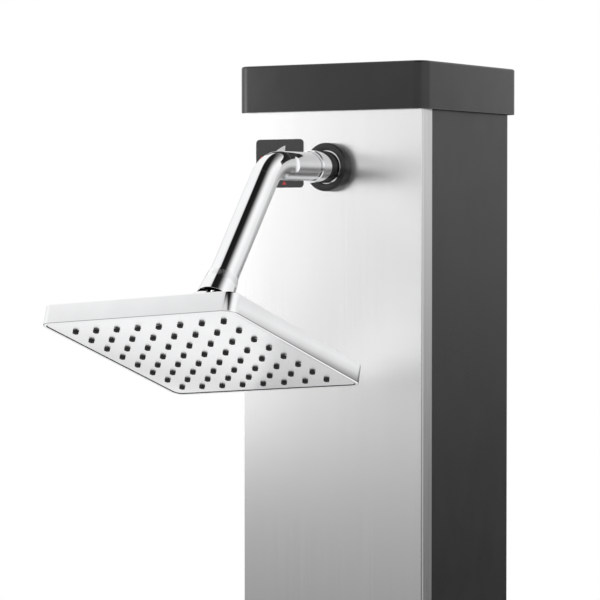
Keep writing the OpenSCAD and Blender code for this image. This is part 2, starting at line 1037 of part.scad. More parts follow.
// Bent chrome tube with spanner notches, and grooves for its rings and clip
module arm_tube() {
    bend_start = -(arm_reach - bend_tangent);
    end_z = -arm_lower + tube_end;
    color(chrome)
        at_arm()
            difference() {
                arm_bar(arm_r, spigot_y, bend_start, end_z);
                arm_bar(arm_bore_r, -14, bend_start, end_z - over);
                y_bar(spigot_bore_r, -15, spigot_y + over);
                for (y = o_ring_ys)
                    y_ring(arm_r + over, o_ring_floor_r, y - 0.9, y + 0.9);
                y_ring(arm_r + over, o_ring_floor_r, clip_y - clip_t / 2 - 0.1, clip_y + clip_t / 2 + 0.1);
                for (x = [-1, 1])
                    translate([x * (arm_r - notch_depth + notch_cutter_r), -notch_y, -arm_r])
                        cylinder(r = notch_cutter_r, h = 2 * arm_r);
            }
}

module arm_o_rings() {
    color(black)
        at_arm()
            for (y = o_ring_ys)
                translate([0, y, 0])
                    rotate([90, 0, 0])
                        rotate_extrude()
                            translate([o_ring_floor_r + o_ring_wire, 0])
                                circle(o_ring_wire, $fn = 24);
}

// Open spring clip that keeps the arm in its socket
module arm_clip() {
    color(steel)
        at_arm()
            difference() {
                y_ring(11, o_ring_floor_r + 0.1, clip_y - clip_t / 2, clip_y + clip_t / 2);
                translate([-3, clip_y - clip_t, 0])
                    cube([6, 2 * clip_t, 12]);
            }
}

// Chrome union nut at the lower end of the arm, with fine rings at its top
module ball_nut() {
    ring_pitch = 1.4;
    ring_depth = 0.35;
    flange_seat = tube_end - washer_t - 3.2;
    color(chrome)
        at_ball()
            rotate_extrude()
                polygon([
                    [neck_r + free_gap, nut_foot],
                    [nut_lip_r, nut_foot],
                    [nut_lip_r, nut_foot + 2.4],
                    [nut_r + 0.2, nut_foot + 6],
                    [nut_r, nut_top - 6.4],
                    for (i = [0 : 3]) each [
                        [nut_r - i * 0.2 - ring_depth, nut_top - 6.2 + i * ring_pitch],
                        [nut_r - i * 0.2 - ring_depth, nut_top - 5.8 + i * ring_pitch],
                        [nut_r - i * 0.2 - 0.1, nut_top - 5.6 + i * ring_pitch],
                        [nut_r - i * 0.2 - 0.2, nut_top - 4.9 + i * ring_pitch]
                    ],
                    [thread_r + 0.3, nut_top],
                    [thread_r, nut_top],
                    [thread_r, flange_seat],
                    [neck_r + free_gap, flange_seat]
                ]);
}

module nut_washer() {
    color(black)
        at_ball()
            translate([0, 0, tube_end - washer_t])
                difference() {
                    cylinder(r = thread_r - 0.1, h = washer_t);
                    translate([0, 0, -over])
                        cylinder(r = 6, h = washer_t + 2 * over);
                }
}

// Brass ball with its neck and the flange held in the union nut
module ball_stem() {
    flange_z = tube_end - washer_t - 3.1;
    color(chrome)
        at_ball()
            difference() {
                union() {
                    sphere(ball_r, $fn = 96);
                    cylinder(r = neck_r, h = flange_z + 3);
                    translate([0, 0, flange_z])
                        cylinder(r = thread_r - free_gap, h = 3);
                }
                translate([0, 0, -ball_r - over])
                    cylinder(r = ball_bore_r, h = ball_r + flange_z + 3 + 2 * over);
            }
}

// ---------- rain head ----------

// Seat ring round the ball, between two heights in the head's frame
module seat(z0, z1, mouth_r) {
    difference() {
        translate([0, 0, z0])
            cylinder(r = seat_r, h = z1 - z0);
        sphere(ball_r + ball_gap, $fn = 96);
        translate([0, 0, z0 - over])
            cylinder(r = mouth_r, h = z1 - z0 + 2 * over);
    }
}

module seat_lower() {
    color(white)
        at_head()
            seat(-11.6, -2.5, 6.5);
}

module seat_upper() {
    color(black)
        at_head()
            seat(-2.3, 5, 8);
}

// Chrome ring that screws into the head's hub and holds the ball
module socket_collar() {
    color(chrome)
        at_head()
            rotate_extrude()
                polygon([
                    [seat_r + run_gap, collar_foot_z], [collar_r, collar_foot_z],
                    [collar_r, hub_top], [hub_r + 0.5, hub_top],
                    [hub_r + 0.5, collar_top - 1], [hub_r - 0.5, collar_top],
                    [collar_mouth_r, collar_top], [collar_mouth_r, 5.2], [seat_r + run_gap, 5.2]
                ]);
}

// Chrome shell: rim, flat back with a shallow dome, and the hub
module head_shell() {
    inner_w = head_w - 2 * rim_t;
    color(chrome)
        at_head()
            difference() {
                union() {
                    translate([0, 0, rim_z])
                        linear_extrude(rim_h)
                            round_square(head_w, head_w, head_corner_r);
                    translate([0, 0, rim_top_z])
                        cylinder(r1 = back_dome_r, r2 = hub_r + hub_foot, h = back_dome_h);
                    translate([0, 0, rim_top_z])
                        cylinder(r = hub_r, h = hub_top - rim_top_z);
                }
                translate([0, 0, rim_z - over])
                    linear_extrude(rim_h - back_t + over)
                        round_square(inner_w, inner_w, head_corner_r - rim_t);
                translate([0, 0, rim_top_z - back_t - eps])
                    cylinder(r1 = back_dome_r - 3, r2 = hub_r, h = back_dome_h);
                translate([0, 0, seat_floor_z])
                    cylinder(r = seat_r + run_gap, h = hub_top - seat_floor_z + over);
                translate([0, 0, rim_top_z - back_t])
                    cylinder(r = head_way_r, h = -rim_top_z);
                translate([0, 0, collar_foot_z])
                    cylinder(r = collar_r, h = hub_top - collar_foot_z + over);
            }
}

// Height of the pillow-shaped face above its edge at a point of the square
function pillow(x, y) = crown * (1 - pow(2 * x / face_w, 2)) * (1 - pow(2 * y / face_w, 2));

// Pillow-shaped sheet of side w whose lower face is at z_low along the edge of the full face
module pillow_sheet(w, z_low, t, cells = 12) {
    line = [for (i = [0 : cells]) (i / cells - 0.5) * w];
    row = cells + 1;
    count = row * row;
    low = [for (y = line, x = line) [x, y, z_low - pillow(x, y)]];
    high = [for (y = line, x = line) [x, y, z_low + t - pillow(x, y)]];
    floor_faces = [for (j = [0 : cells - 1], i = [0 : cells - 1])
        each [[j * row + i, j * row + i + 1, (j + 1) * row + i + 1],
              [j * row + i, (j + 1) * row + i + 1, (j + 1) * row + i]]];
    roof_faces = [for (f = floor_faces) [f[2] + count, f[1] + count, f[0] + count]];
    ring = concat(
        [for (i = [0 : cells - 1]) i],
        [for (j = [0 : cells - 1]) j * row + cells],
        [for (i = [cells : -1 : 1]) cells * row + i],
        [for (j = [cells : -1 : 1]) j * row]);
    n = len(ring);
    side_faces = [for (k = [0 : n - 1])
        each [[ring[k], ring[k] + count, ring[(k + 1) % n] + count],
              [ring[k], ring[(k + 1) % n] + count, ring[(k + 1) % n]]]];
    polyhedron(points = concat(low, high), faces = concat(floor_faces, roof_faces, side_faces));
}

// Rounded-square outline of one nozzle
module nozzle_outline(w) {
    offset(r = 1, $fn = 12)
        square(w - 2, center = true);
}

module faceplate() {
    color(chrome)
        at_head()
            difference() {
                intersection() {
                    pillow_sheet(face_w, face_edge_z, face_t);
                    translate([0, 0, rim_z - 10])
                        linear_extrude(20)
                            round_square(face_w, face_w, face_corner_r);
                }
                for (x = nozzle_places, y = nozzle_places)
                    translate([x, y, rim_z - 6])
                        linear_extrude(12)
                            nozzle_outline(nozzle_w + nozzle_slack);
            }
}

// Silicone mat with one soft nozzle behind each hole of the face
module nozzle_mat() {
    color(black)
        at_head()
            difference() {
                union() {
                    pillow_sheet(mat_w, face_edge_z + face_t + mat_gap, mat_t);
                    for (x = nozzle_places, y = nozzle_places)
                        translate([x, y, face_edge_z - nozzle_stand - pillow(x, y)])
                            linear_extrude(nozzle_stand + face_t + mat_gap + mat_t / 2)
                                nozzle_outline(nozzle_w);
                }
                for (x = nozzle_places, y = nozzle_places)
                    translate([x, y, face_edge_z - nozzle_stand - pillow(x, y) - over])
                        cylinder(r = nozzle_hole_r, h = 10, $fn = 6);
            }
}

// Stiff plate that presses the mat against the face
module spray_carrier() {
    color(white)
        at_head()
            translate([0, 0, carrier_z])
                difference() {
                    linear_extrude(carrier_t)
                        round_square(mat_w, mat_w, carrier_corner_r);
                    for (x = nozzle_places, y = nozzle_places)
                        translate([x, y, -over])
                            cylinder(r = 1.2, h = carrier_t + 2 * over, $fn = 6);
                }
}

module head_gasket() {
    gasket_w = head_w - 2 * (rim_t + gasket_gap);
    hole_w = mat_w + 2 * glue_gap;
    color(black)
        at_head()
            translate([0, 0, carrier_z])
                linear_extrude(carrier_t)
                    difference() {
                        round_square(gasket_w, gasket_w, face_corner_r);
                        round_square(hole_w, hole_w, carrier_corner_r);
                    }
}

module carrier_screws() {
    color(steel)
        at_head()
            for (x = screw_spots, y = screw_spots)
                translate([x, y, carrier_z + carrier_t]) {
                    cylinder(r = 3, h = 2);
                    cylinder(r = 1.5, h = rim_top_z - back_t - carrier_z - carrier_t);
                }
}

base_plate();
foot_angles();
foot_screws();
base_collar();
tank_shell();
tank_bottom_plate();
tank_top_plate();
trim_left();
trim_right();
trim_rivets();
front_panel();
panel_tape();
panel_studs();
panel_nuts();
top_cap();
cap_screws();
warning_label();
arm_bracket();
mixer_bracket();
bracket_screws();
wall_socket();
socket_spacer();
socket_lock_ring();
wall_rosette();
wall_elbow();
riser_pipe();
hot_pipe();
cold_pipe();
tank_feed_pipe();
pipe_nuts();
inlet_tee();
check_valve();
hose_inlet();
inlet_nut();
drain_plug();
mixer_body();
mixer_cartridge();
cartridge_ring();
mixer_escutcheon();
mixer_dome();
cartridge_carrier();
carrier_pin();
cartridge_stem();
mixer_handle();
handle_plug();
arm_tube();
arm_o_rings();
arm_clip();
ball_nut();
nut_washer();
ball_stem();
seat_lower();
seat_upper();
socket_collar();
head_shell();
head_gasket();
spray_carrier();
nozzle_mat();
faceplate();
carrier_screws();
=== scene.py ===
# Looks of the free-standing rain shower column: its finishes, the pieces that need a finer mesh than
# the CAD model gives them, the studio and the camera. Lengths in the shape functions are millimetres.
# The union nut, the socket dome, the rim's wall, the face's edge and its lip depart from the CAD's sizes.
import json
import math

import bmesh
import bpy
from mathutils import Matrix, Vector


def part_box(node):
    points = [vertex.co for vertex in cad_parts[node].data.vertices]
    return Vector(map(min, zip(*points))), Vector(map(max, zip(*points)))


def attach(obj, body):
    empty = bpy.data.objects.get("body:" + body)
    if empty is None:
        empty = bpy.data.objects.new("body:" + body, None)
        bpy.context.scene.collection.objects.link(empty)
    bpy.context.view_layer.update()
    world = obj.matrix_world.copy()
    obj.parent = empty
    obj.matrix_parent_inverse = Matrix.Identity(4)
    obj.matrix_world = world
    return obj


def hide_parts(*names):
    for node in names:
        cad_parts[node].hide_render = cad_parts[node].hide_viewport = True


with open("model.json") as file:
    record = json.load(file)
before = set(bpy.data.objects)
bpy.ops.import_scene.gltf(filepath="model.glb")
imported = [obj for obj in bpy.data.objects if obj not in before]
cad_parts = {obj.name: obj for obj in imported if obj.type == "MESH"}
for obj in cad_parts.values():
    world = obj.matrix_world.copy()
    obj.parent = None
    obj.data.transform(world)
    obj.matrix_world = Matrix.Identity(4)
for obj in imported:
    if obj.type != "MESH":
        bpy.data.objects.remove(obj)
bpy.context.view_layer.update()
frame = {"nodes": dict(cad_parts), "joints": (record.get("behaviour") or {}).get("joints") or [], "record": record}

MM = 0.001
JOINTS = {joint["name"]: joint for joint in frame["joints"]}
panel_low, panel_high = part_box("front_panel")
cap_low, cap_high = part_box("top_cap")

# ---------- camera ----------

LENS = 160.1
CAMERA_AZIMUTH = math.radians(32.32)
CAMERA_ELEVATION = math.radians(1.61)
CAMERA_DISTANCE = 1.9435
AIM_BELOW_CAP = 0.137
AIM_X = -0.0265


def make_camera():
    """The camera looks at a point on the front panel, from the right and a little above."""
    back = Vector((
        math.sin(CAMERA_AZIMUTH) * math.cos(CAMERA_ELEVATION),
        -math.cos(CAMERA_AZIMUTH) * math.cos(CAMERA_ELEVATION),
        math.sin(CAMERA_ELEVATION),
    ))
    aim = Vector((AIM_X, panel_low.y, cap_low.z - AIM_BELOW_CAP))
    data = bpy.data.cameras.new("camera")
    data.lens = LENS
    camera = bpy.data.objects.new("camera", data)
    camera.location = aim + back * CAMERA_DISTANCE
    camera.rotation_mode = "QUATERNION"
    camera.rotation_quaternion = (-back).to_track_quat("-Z", "Y")
    bpy.context.scene.collection.objects.link(camera)
    bpy.context.scene.camera = camera


make_camera()

# ---------- materials ----------


class Finish:
    """A Principled material whose textures are laid out in the object's own metres."""

    def __init__(self, name, metallic, roughness, colour, **more):
        self.material = bpy.data.materials.new(name)
        self.material.use_nodes = True
        self.nodes = self.material.node_tree.nodes
        self.links = self.material.node_tree.links
        self.bsdf = self.nodes["Principled BSDF"]
        self.place = self.nodes.new("ShaderNodeTexCoord").outputs["Object"]
        self.bsdf.inputs["Metallic"].default_value = metallic
        self.bsdf.inputs["Roughness"].default_value = roughness
        self.bsdf.inputs["Base Color"].default_value = (*colour, 1)
        for socket, value in more.items():
            self.bsdf.inputs[socket.replace("_", " ")].default_value = value

    def noise(self, scale, detail=2.0):
        """Noise of so many features to the metre along each axis."""
        mapping = self.nodes.new("ShaderNodeMapping")
        mapping.inputs["Scale"].default_value = scale
        self.links.new(self.place, mapping.inputs["Vector"])
        texture = self.nodes.new("ShaderNodeTexNoise")
        texture.inputs["Scale"].default_value = 1.0
        texture.inputs["Detail"].default_value = detail
        self.links.new(mapping.outputs["Vector"], texture.inputs["Vector"])
        return texture.outputs["Fac"]

    def spread(self, value, low, high):
        """The middle of a noise, stretched from low to high."""
        ramp = self.nodes.new("ShaderNodeMapRange")
        ramp.inputs["From Min"].default_value = 0.3
        ramp.inputs["From Max"].default_value = 0.7
        ramp.inputs["To Min"].default_value = low
        ramp.inputs["To Max"].default_value = high
        self.links.new(value, ramp.inputs["Value"])
        return ramp.outputs["Result"]

    def vary_colour(self, value, dark, light):
        """Base colour between two colours by a noise."""
        mix = self.nodes.new("ShaderNodeMix")
        mix.data_type = "RGBA"
        self.links.new(self.spread(value, 0, 1), mix.inputs["Factor"])
        mix.inputs["A"].default_value = (*dark, 1)
        mix.inputs["B"].default_value = (*light, 1)
        self.links.new(mix.outputs["Result"], self.bsdf.inputs["Base Color"])

    def vary_roughness(self, value, low, high):
        self.links.new(self.spread(value, low, high), self.bsdf.inputs["Roughness"])

    def bump(self, value, strength, depth):
        """Height relief of a noise, depth in metres."""
        node = self.nodes.new("ShaderNodeBump")
        node.inputs["Strength"].default_value = strength
        node.inputs["Distance"].default_value = depth
        self.links.new(value, node.inputs["Height"])
        self.links.new(node.outputs["Normal"], self.bsdf.inputs["Normal"])

    def brush_around_z(self):
        """Grain that runs along Z, so reflections smear sideways."""
        tangent = self.nodes.new("ShaderNodeTangent")
        tangent.direction_type = "RADIAL"
        tangent.axis = "Z"
        self.links.new(tangent.outputs["Tangent"], self.bsdf.inputs["Tangent"])


def grey(value, tint=0.0):
    """A grey, a little blue where tint is above zero."""
    return (value * (1 - tint), value, value * (1 + tint))


def brushed_front():
    finish = Finish("brushed_front", 1.0, 0.25, grey(0.9), Anisotropic=0.62)
    finish.brush_around_z()
    finish.vary_colour(finish.noise((500, 500, 4), 3), grey(0.925), grey(0.945))
    finish.vary_roughness(finish.noise((900, 900, 9), 2), 0.24, 0.27)
    finish.bump(finish.noise((2600, 2600, 16), 2), 0.02, 0.00002)
    return finish.material


def satin_trim():
    finish = Finish("satin_trim", 1.0, 0.3, grey(0.8), Anisotropic=0.4)
    finish.brush_around_z()
    finish.vary_colour(finish.noise((300, 300, 5), 3), grey(0.76), grey(0.82))
    finish.vary_roughness(finish.noise((700, 700, 12)), 0.27, 0.34)
    finish.bump(finish.noise((2400, 2400, 30)), 0.04, 0.00003)
    return finish.material


def stainless_hardware():
    finish = Finish("stainless_hardware", 1.0, 0.3, grey(0.66))
    finish.vary_colour(finish.noise((30, 600, 600), 3), grey(0.6), grey(0.7))
    finish.vary_roughness(finish.noise((60, 900, 900)), 0.26, 0.38)
    finish.bump(finish.noise((40, 1800, 1800)), 0.08, 0.00004)
    return finish.material


def black_shell():
    finish = Finish("black_shell", 0.0, 0.3, grey(0.014), Specular_IOR_Level=0.75)
    finish.vary_colour(finish.noise((25, 25, 12), 4), grey(0.012), grey(0.016))
    finish.vary_roughness(finish.noise((60, 60, 30), 4), 0.27, 0.33)
    finish.bump(finish.noise((2600, 2600, 2600)), 0.06, 0.00003)
    return finish.material


def tank_plastic():
    finish = Finish("tank_plastic", 0.0, 0.5, grey(0.03))
    finish.vary_colour(finish.noise((40, 40, 40), 4), grey(0.025), grey(0.035))
    finish.bump(finish.noise((1500, 1500, 1500)), 0.08, 0.00005)
    return finish.material


def dark_plastic():
    finish = Finish("dark_plastic", 0.0, 0.25, grey(0.016), Specular_IOR_Level=0.6)
    finish.vary_colour(finish.noise((30, 30, 30), 4), grey(0.013), grey(0.019))
    finish.vary_roughness(finish.noise((80, 80, 80), 4), 0.2, 0.27)
    finish.bump(finish.noise((1900, 1900, 1900)), 0.05, 0.00003)
    return finish.material


def printed_film(name, colour):
    finish = Finish(name, 0.0, 0.45, colour, Specular_IOR_Level=0.4)
    low = tuple(c * 0.9 for c in colour)
    high = tuple(min(1, c * 1.08) for c in colour)
    finish.vary_colour(finish.noise((700, 700, 700), 3), low, high)
    finish.vary_roughness(finish.noise((300, 300, 300)), 0.4, 0.5)
    finish.bump(finish.noise((3000, 3000, 3000)), 0.05, 0.00002)
    return finish.material


def chrome():
    finish = Finish("chrome", 1.0, 0.04, grey(0.93, 0.006))
    finish.vary_colour(finish.noise((40, 40, 40), 3), grey(0.91, 0.006), grey(0.95, 0.006))
    finish.vary_roughness(finish.noise((120, 120, 120), 4), 0.025, 0.07)
    return finish.material


def satin_chrome():
    """Softer finish for the spray face alone; the record lists it as polished chrome."""
    finish = Finish("satin_chrome", 1.0, 0.24, grey(0.93, 0.006))
    finish.vary_colour(finish.noise((30, 30, 30), 3), grey(0.91, 0.006), grey(0.95, 0.006))
    finish.vary_roughness(finish.noise((90, 90, 90), 4), 0.21, 0.27)
    return finish.material


def turned_metal(name, dark, light):
    finish = Finish(name, 1.0, 0.28, light)
    finish.vary_colour(finish.noise((90, 90, 90), 4), dark, light)
    finish.vary_roughness(finish.noise((500, 500, 500), 3), 0.2, 0.36)
    finish.bump(finish.noise((1600, 1600, 1600)), 0.08, 0.00004)
    return finish.material


def white_plastic():
    finish = Finish("white_plastic", 0.0, 0.4, grey(0.75))
    finish.vary_colour(finish.noise((60, 60, 60), 3), (0.72, 0.72, 0.69), (0.8, 0.8, 0.78))
    finish.bump(finish.noise((1500, 1500, 1500)), 0.06, 0.00004)
    return finish.material


def black_rubber():
    finish = Finish("black_rubber", 0.0, 0.55, grey(0.012), Specular_IOR_Level=0.35)
    finish.vary_colour(finish.noise((400, 400, 400), 3), grey(0.009), grey(0.016))
    finish.vary_roughness(finish.noise((600, 600, 600)), 0.45, 0.62)
    finish.bump(finish.noise((2500, 2500, 2500)), 0.1, 0.00004)
    return finish.material


MATERIALS = {
    "brushed_front": brushed_front(),
    "satin_trim": satin_trim(),
    "stainless_hardware": stainless_hardware(),
    "black_shell": black_shell(),
    "tank_plastic": tank_plastic(),
    "dark_plastic": dark_plastic(),
    "printed_label": printed_film("printed_label", grey(0.055)),
    "chrome": chrome(),
    "brass": turned_metal("brass", (0.6, 0.42, 0.16), (0.72, 0.53, 0.22)),
    "copper": turned_metal("copper", (0.62, 0.3, 0.18), (0.74, 0.38, 0.24)),
    "white_plastic": white_plastic(),
    "black_rubber": black_rubber(),
}
SATIN_CHROME = satin_chrome()
WHITE_PRINT = printed_film("white_print", grey(0.85))
RED_PRINT = printed_film("red_print", (0.6, 0.06, 0.06))


def paint_nodes():
    """Gives each CAD node the finish of its slot in the record."""
    for part in frame["record"]["subparts"]:
        for slot in frame["nodes"][part["node"]].material_slots:
            slot.material = MATERIALS[part["material_slot"]]


paint_nodes()

# ---------- shape helpers ----------


def rounded_corner(before, corner, after, radius, steps):
    """Points of the arc that rounds one corner of a path."""
    into = (corner - before).normalized()
    out = (after - corner).normalized()
    half = into.angle(out, 0) / 2
    if radius <= 0 or half < 1e-4:
        return [corner]
    reach = radius * math.tan(half)
    start = corner - into * reach
    side = (out - into).normalized()
    centre = corner + side * (radius / math.cos(half))
    a = start - centre
    b = corner + out * reach - centre
    points = []
    for i in range(steps + 1):
        t = i / steps
        sweep = 2 * half
        points.append(centre + (a * math.sin((1 - t) * sweep) + b * math.sin(t * sweep)) / math.sin(sweep))
    return points


def rounded_path(corners, closed=False, steps=4):
    """A path through (u, v, radius) corners, each rounded by its radius."""
    flat = [Vector((c[0], c[1])) for c in corners]
    count = len(flat)
    points = []
    for i, corner in enumerate(flat):
        radius = corners[i][2] if len(corners[i]) > 2 else 0
        if not closed and i in (0, count - 1):
            points.append(corner)
        else:
            points += rounded_corner(flat[i - 1], corner, flat[(i + 1) % count], radius, steps)
    return points


def rounded_square(half_w, half_d, radius, steps=10):
    """Outline of a square with round corners, anticlockwise from its right-hand lower corner."""
    points = []
    for quarter, (sx, sy) in enumerate(((1, -1), (1, 1), (-1, 1), (-1, -1))):
        for i in range(steps + 1):
            turn = math.radians(-90 + 90 * quarter + 90 * i / steps)
            points.append(Vector((
                sx * (half_w - radius) + radius * math.cos(turn),
                sy * (half_d - radius) + radius * math.sin(turn),
            )))
    return points


def circle(radius, count, start=0.0):
    """Outline of a circle, anticlockwise."""
    turns = [start + 2 * math.pi * i / count for i in range(count)]
    return [Vector((radius * math.cos(t), radius * math.sin(t))) for t in turns]


def at_height(outline, z):
    return [Vector((p.x, p.y, z)) for p in outline]


class Shape:
    """A mesh in millimetres, put together from loops of points."""

    def __init__(self):
        self.bm = bmesh.new()

    def loop(self, points):
        return [self.bm.verts.new(p) for p in points]

    def bridge(self, a, b, closed=True):
        count = len(a)
        for i in range(count if closed else count - 1):
            j = (i + 1) % count
            self.bm.faces.new((a[i], a[j], b[j], b[i]))

    def loft(self, loops, cap_first=False, cap_last=False, ring=False):
        """Skins a row of closed loops, all with as many points."""
        made = [self.loop(points) for points in loops]
        for a, b in zip(made, made[1:]):
            self.bridge(a, b)
        if ring:
            self.bridge(made[-1], made[0])
        if cap_first:
            self.bm.faces.new(list(reversed(made[0])))
        if cap_last:
            self.bm.faces.new(made[-1])
        return made

    def turned(self, profile, count=96, ring=True):
        """Solid of revolution about Z; the profile's points are (radius, z)."""
        loops = [at_height(circle(max(p.x, 1e-4), count), p.y) for p in profile]
        self.loft(loops, ring=ring)

    def finish(self, name, slot, frame_matrix=None, material=None, angle=30):
        """The object in metres, placed by the matrix, with its soft edges shaded smooth."""
        bmesh.ops.remove_doubles(self.bm, verts=self.bm.verts, dist=0.0005)
        bmesh.ops.recalc_face_normals(self.bm, faces=self.bm.faces)
        mesh = bpy.data.meshes.new(name)
        self.bm.to_mesh(mesh)
        self.bm.free()
        matrix = Matrix.Scale(MM, 4)
        mesh.transform(frame_matrix @ matrix if frame_matrix else matrix)
        mesh.shade_smooth()
        mesh.set_sharp_from_angle(angle=math.radians(angle))
        piece = bpy.data.objects.new(name, mesh)
        bpy.context.scene.collection.objects.link(piece)
        mesh.materials.append(material or MATERIALS[slot])
        return piece


def stands_for(piece, body, *nodes):
    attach(piece, body)
    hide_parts(*nodes)
    return piece


def joint_frame(origin, x_axis, z_axis):
    """Matrix of a frame whose X and Z are given."""
    z = z_axis.normalized()
    y = z.cross(x_axis).normalized()
    x = y.cross(z)
    return Matrix.Translation(origin) @ Matrix((x, y, z)).transposed().to_4x4()


# ---------- frames ----------

HEAD_TURN = math.radians(-1.7)
BALL = Vector(JOINTS["head_spin"]["pos_m"])
ARM_SIDE = Vector(JOINTS["head_tilt"]["axis"])
HEAD_AXIS = Vector(JOINTS["head_spin"]["axis"])
AT_HEAD = joint_frame(BALL, ARM_SIDE, HEAD_AXIS) @ Matrix.Rotation(HEAD_TURN, 4, "Z")
AT_BALL = joint_frame(BALL, ARM_SIDE, Vector(JOINTS["ball_roll"]["axis"]))
OUT_OF_PANEL = Matrix.Rotation(math.radians(90), 4, "X")
ARM_FOOT = Vector(JOINTS["arm_swivel"]["pos_m"])
AT_WALL = Matrix.Translation((ARM_FOOT.x, panel_low.y, ARM_FOOT.z)) @ OUT_OF_PANEL

# ---------- cap ----------

CAP_CORNER = 9.8
CAP_WALL = 2.6
CAP_EDGE = 1.6
CAP_FOOT_EDGE = 0.35


def make_cap():
    """Square cap with round corners and a soft upper edge, open below."""
    half_w = (cap_high.x - cap_low.x) / 2 / MM
    half_d = (cap_high.y - cap_low.y) / 2 / MM
    height = (cap_high.z - cap_low.z) / MM
    centre = Vector(((cap_low.x + cap_high.x) / 2, (cap_low.y + cap_high.y) / 2, cap_low.z))
    inner = rounded_square(half_w - CAP_WALL, half_d - CAP_WALL, CAP_CORNER - CAP_WALL)
    profile = rounded_path([
        (CAP_WALL, 0.0), (CAP_FOOT_EDGE, 0.0), (0.0, CAP_FOOT_EDGE), (0.0, height, CAP_EDGE),
        (CAP_WALL + 6, height),
    ], steps=6)
    loops = [at_height(inner, height - CAP_WALL)]
    for p in profile:
        outline = rounded_square(half_w - p.x, half_d - p.x, max(CAP_CORNER - p.x, 0.8))
        loops.append(at_height(outline, p.y))
    shape = Shape()
    shape.loft(loops, cap_first=True, cap_last=True)
    piece = shape.finish("cap_cover", "dark_plastic", Matrix.Translation(centre))
    return stands_for(piece, "column", "top_cap")


make_cap()

# ---------- front corner trims ----------

TRIM_SHEET = 1.5
TRIM_STRIP = 13.3
TRIM_LEG_INSET = 5.9

def make_trim(side):
    """Folded corner trim with a rounded bend at its front edge."""
    name = "trim_left" if side < 0 else "trim_right"
    low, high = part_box(name)
    outer = max(abs(low.x), abs(high.x)) / MM
    inner = min(abs(low.x), abs(high.x)) / MM
    front = low.y / MM
    leg_end = high.y / MM
    leg = outer - TRIM_LEG_INSET
    bend = front + TRIM_STRIP
    section = rounded_path([
        (inner, front), (outer, front, 1.3), (outer, bend, 0.4), (leg + TRIM_SHEET, bend, 0.3),
        (leg + TRIM_SHEET, leg_end), (leg, leg_end), (leg, bend - TRIM_SHEET, 1.2),
        (outer - TRIM_SHEET, bend - TRIM_SHEET, 0.3), (outer - TRIM_SHEET, front + TRIM_SHEET, 0.3),
        (inner, front + TRIM_SHEET),
    ], closed=True, steps=5)
    if side < 0:
        section = [Vector((-p.x, p.y)) for p in reversed(section)]
    shape = Shape()
    ends = [at_height(section, low.z / MM), at_height(section, high.z / MM)]
    shape.loft(ends, cap_first=True, cap_last=True)
    piece = shape.finish(name + "_folded", "satin_trim", angle=35)
    return stands_for(piece, "column", name)


make_trim(-1)
make_trim(1)

# ---------- rain head ----------

HEAD_HALF = 78.2
HEAD_CORNER = 8.0
RIM_Z = -31.3
RIM_TOP = -17.6
# The CAD's rim wall is 1.7 thick; this one makes the face 0.4 smaller on each side.
RIM_WALL = 2.1
FACE_GAP = 0.5
FACE_HALF = HEAD_HALF - RIM_WALL - FACE_GAP
FACE_CORNER = HEAD_CORNER - RIM_WALL - FACE_GAP
FACE_EDGE_Z = RIM_Z + 0.6
# The CAD leaves the gap round the face open; the lip that fills it here is an addition.
LIP_Z = RIM_Z + 0.3
FACE_T = 1.6
CROWN = 2.8
NOZZLES = 8
PITCH = 17.25
HOLE_W = 3.6
NOZZLE_W = 3.4
NOZZLE_STAND = 1.8
CELL_STEPS = 6
HUB_R = 17.0
HUB_BORE = 13.8
HUB_TOP = 1.0
HUB_SEAT_R = 15.5
HUB_SEAT_Z = -1.0
BALL_FLOOR_Z = -11.7
WATERWAY_R = 7.0
BACK_T = 2.0
BACK_FLAT = 8.0
BACK_RISE = 5.0
BACK_RISE_R = 62
HUB_BLEND = 3


def make_head_shell():
    """Chrome shell: a tall rim with soft edges, a back that rises gently to the hub, and the hub."""
    steps = 14
    count = 4 * (steps + 1)
    rim = rounded_path([
        (RIM_WALL, RIM_TOP - BACK_T), (RIM_WALL, RIM_Z, 0.3), (0.0, RIM_Z, 1.1), (0.0, RIM_TOP, 0.7),
        (BACK_FLAT, RIM_TOP),
    ], steps=6)
    loops = []
    for p in rim:
        outline = rounded_square(HEAD_HALF - p.x, HEAD_HALF - p.x, max(HEAD_CORNER - p.x, 0.5), steps)
        loops.append(at_height(outline, p.y))
    corner_turn = math.atan2(loops[-1][steps // 2].y, loops[-1][steps // 2].x)
    turns = [corner_turn + (i - steps // 2) * 2 * math.pi / count for i in range(count)]

    def ring(radius, z):
        return [Vector((radius * math.cos(t), radius * math.sin(t), z)) for t in turns]

    loops += [ring(BACK_RISE_R + 4, RIM_TOP), ring(BACK_RISE_R + 1, RIM_TOP)]
    for i in range(17):
        t = i / 16
        radius = BACK_RISE_R - (BACK_RISE_R - HUB_R - HUB_BLEND) * t
        loops.append(ring(radius, RIM_TOP + BACK_RISE * (3 * t * t - 2 * t ** 3) * 0.999))
    hub = rounded_path([
        (HUB_R + HUB_BLEND, RIM_TOP + BACK_RISE), (HUB_R, RIM_TOP + BACK_RISE, 1.5), (HUB_R, HUB_TOP, 0.4),
        (HUB_SEAT_R, HUB_TOP), (HUB_SEAT_R, HUB_SEAT_Z), (HUB_BORE, HUB_SEAT_Z), (HUB_BORE, BALL_FLOOR_Z),
        (WATERWAY_R, BALL_FLOOR_Z), (WATERWAY_R, RIM_TOP - BACK_T), (HUB_R, RIM_TOP - BACK_T),
    ], steps=5)
    loops += [ring(p.x, p.y) for p in hub[1:]]
    shape = Shape()
    shape.loft(loops, ring=True)
    piece = shape.finish("head_cover", "chrome", AT_HEAD, angle=40)
    return stands_for(piece, "head", "head_shell")


def pillow(x, y):
    """How far the face bulges below its edge."""
    return CROWN * (1 - (x / FACE_HALF) ** 2) * (1 - (y / FACE_HALF) ** 2)


